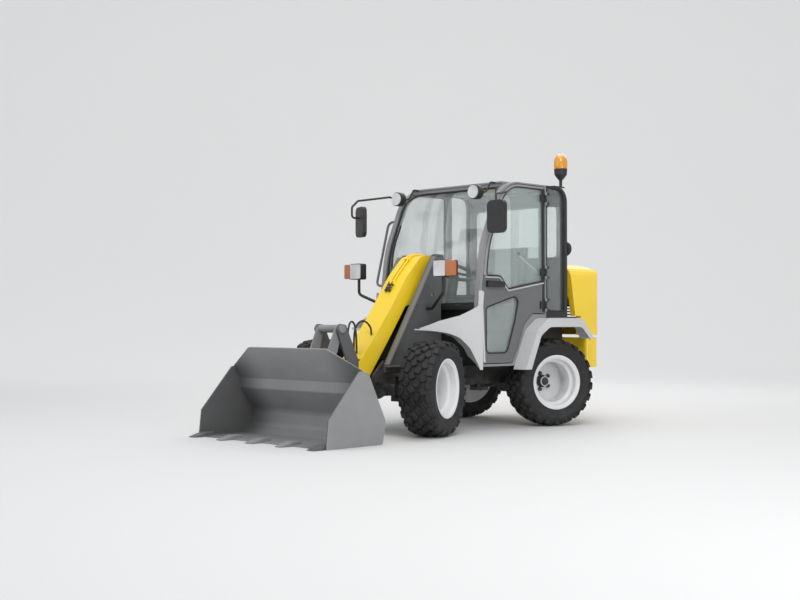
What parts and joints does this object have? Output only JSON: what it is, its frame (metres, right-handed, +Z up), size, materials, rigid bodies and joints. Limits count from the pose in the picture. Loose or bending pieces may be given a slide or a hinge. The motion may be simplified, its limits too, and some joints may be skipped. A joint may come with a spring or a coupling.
{
  "type": "wheel loader",
  "caption": "Compact rigid-frame wheel loader with all-wheel steering, lifting boom, tilting bucket on a quick hitch, glazed cab with a swinging door and a lifting rear hood.",
  "frame": {"origin": "on the ground under the middle of the machine's length and width", "axes": "+X forwards to the bucket, +Y to the machine's left, +Z up"},
  "size_m": [3.597, 1.6031, 2.27],
  "materials": {
    "frame_black": "satin paint",
    "tower_grey": "satin paint",
    "cab_grey": "satin paint",
    "roof_grey": "moulded",
    "trim_black": "moulded",
    "window_glass": "tinted",
    "seat_cover": "woven",
    "fender_grey": "moulded",
    "body_yellow": "gloss paint",
    "lamp_glass": "clear",
    "amber_lens": "translucent",
    "red_lens": "translucent",
    "bucket_grey": "satin paint",
    "bright_steel": "ground",
    "rim_silver": "silver paint",
    "tyre_rubber": "rubber"
  },
  "bodies": {
    "chassis": {"chassis_frame": "frame_black", "boom_tower": "tower_grey", "engine_block": "frame_black", "front_axle": "frame_black", "rear_axle": "frame_black", "drive_shaft": "frame_black", "cab_floor": "trim_black", "cab_side_left": "cab_grey", "cab_side_right": "cab_grey", "cab_front_wall": "trim_black", "cab_rear_wall": "cab_grey", "cab_roof": "roof_grey", "windscreen": "window_glass", "cab_glass": "window_glass", "operator_seat": "seat_cover", "seat_base": "trim_black", "steering_column": "trim_black", "front_fenders": "fender_grey", "rear_fenders": "fender_grey", "counterweight": "body_yellow", "headlamps": "trim_black", "lamp_lenses": "lamp_glass", "indicators": "amber_lens", "work_lamps": "trim_black", "tail_lamps": "red_lens", "mirrors": "trim_black", "grab_rail": "cab_grey", "beacon_base": "trim_black", "beacon_dome": "amber_lens"},
    "door": {"door_frame": "cab_grey", "door_glass": "window_glass", "door_fittings": "trim_black"},
    "hood": {"engine_hood": "body_yellow", "hood_grille": "trim_black"},
    "boom": {"boom": "body_yellow", "boom_pipes": "body_yellow"},
    "hitch_pin": {"hitch_pin": "bright_steel"},
    "bucket": {"hitch_frame": "tower_grey", "bucket_shell": "bucket_grey", "bucket_teeth": "bucket_grey"},
    "lift_barrel": {"lift_barrel": "frame_black"},
    "lift_rod": {"lift_rod": "bright_steel"},
    "tilt_barrel": {"tilt_barrel": "frame_black"},
    "tilt_rod": {"tilt_rod": "bright_steel"},
    "knuckle_fl": {"knuckle_fl": "frame_black"},
    "wheel_fl": {"rim_fl": "rim_silver", "tyre_fl": "tyre_rubber"},
    "knuckle_fr": {"knuckle_fr": "frame_black"},
    "wheel_fr": {"rim_fr": "rim_silver", "tyre_fr": "tyre_rubber"},
    "knuckle_rl": {"knuckle_rl": "frame_black"},
    "wheel_rl": {"rim_rl": "rim_silver", "tyre_rl": "tyre_rubber"},
    "knuckle_rr": {"knuckle_rr": "frame_black"},
    "wheel_rr": {"rim_rr": "rim_silver", "tyre_rr": "tyre_rubber"}
  },
  "joints": [
    {"name": "boom_lift", "type": "hinge", "parent": "chassis", "child": "boom", "pos_m": [0.005, 0, 1.32], "axis": [0, -1, 0], "range_deg": [0, 97]},
    {"name": "hitch_level", "type": "hinge", "parent": "boom", "child": "hitch_pin", "pos_m": [0.945, 0, 0.3], "axis": [0, -1, 0], "range_deg": [-97.5, 0.5]},
    {"name": "bucket_tilt", "type": "hinge", "parent": "hitch_pin", "child": "bucket", "pos_m": [0.945, 0, 0.3], "axis": [0, 1, 0], "range_deg": [-35, 45]},
    {"name": "lift_swing", "type": "hinge", "parent": "chassis", "child": "lift_barrel", "pos_m": [-0.06, 0.05, 0.43], "axis": [0, -1, 0], "range_deg": [-1, 5]},
    {"name": "lift_stroke", "type": "slide", "parent": "lift_barrel", "child": "lift_rod", "axis": [0.327, 0, 0.945], "range_m": [-0.02, 0.46]},
    {"name": "tilt_swing", "type": "hinge", "parent": "chassis", "child": "tilt_barrel", "pos_m": [-0.01, -0.05, 1.16], "axis": [0, -1, 0], "range_deg": [-0.5, 97.5]},
    {"name": "tilt_stroke", "type": "slide", "parent": "tilt_barrel", "child": "tilt_rod", "axis": [0.6777, 0, -0.7354], "range_m": [-0.1, 0.08]},
    {"name": "door_swing", "type": "hinge", "parent": "chassis", "child": "door", "pos_m": [-0.866, 0.562, 1.2], "axis": [0, 0, 1], "range_deg": [0, 105]},
    {"name": "hood_lift", "type": "hinge", "parent": "chassis", "child": "hood", "pos_m": [-1.262, 0, 1.366], "axis": [0, 1, 0], "range_deg": [0, 60]},
    {"name": "steering", "type": "hinge", "parent": "chassis", "child": "knuckle_fl", "pos_m": [0.55, 0.337, 0.36], "axis": [0, 0, 1], "range_deg": [-55, 15]},
    {"name": "wheel_spin_fl", "type": "hinge", "parent": "knuckle_fl", "child": "wheel_fl", "pos_m": [0.47476, 0.54373, 0.36], "axis": [-0.342, 0.9397, 0], "continuous": true},
    {"name": "steering_fr", "type": "hinge", "parent": "chassis", "child": "knuckle_fr", "pos_m": [0.55, -0.337, 0.36], "axis": [0, 0, 1], "range_deg": [-55.5, 15.5]},
    {"name": "wheel_spin_fr", "type": "hinge", "parent": "knuckle_fr", "child": "wheel_fr", "pos_m": [0.62524, -0.54373, 0.36], "axis": [-0.342, 0.9397, 0], "continuous": true},
    {"name": "steering_rl", "type": "hinge", "parent": "chassis", "child": "knuckle_rl", "pos_m": [-1.003, 0.337, 0.36], "axis": [0, 0, 1], "range_deg": [-15.5, 55.5]},
    {"name": "wheel_spin_rl", "type": "hinge", "parent": "knuckle_rl", "child": "wheel_rl", "pos_m": [-0.92776, 0.54373, 0.36], "axis": [0.342, 0.9397, 0], "continuous": true},
    {"name": "steering_rr", "type": "hinge", "parent": "chassis", "child": "knuckle_rr", "pos_m": [-1.003, -0.337, 0.36], "axis": [0, 0, 1], "range_deg": [-15.5, 55.5]},
    {"name": "wheel_spin_rr", "type": "hinge", "parent": "knuckle_rr", "child": "wheel_rr", "pos_m": [-1.07824, -0.54373, 0.36], "axis": [0.342, 0.9397, 0], "continuous": true}
  ],
  "couplings": [
    {"joint": "hitch_level", "follows": "boom_lift", "ratio": -1},
    {"joint": "lift_swing", "follows": "boom_lift", "ratio": 0.0352},
    {"joint": "lift_stroke", "follows": "boom_lift", "m_per_rad": 0.26334},
    {"joint": "tilt_swing", "follows": "boom_lift", "ratio": 1},
    {"joint": "tilt_stroke", "follows": "bucket_tilt", "m_per_rad": -0.11946},
    {"joint": "steering_fr", "follows": "steering", "ratio": 1},
    {"joint": "steering_rl", "follows": "steering", "ratio": -1},
    {"joint": "steering_rr", "follows": "steering", "ratio": -1}
  ]
}
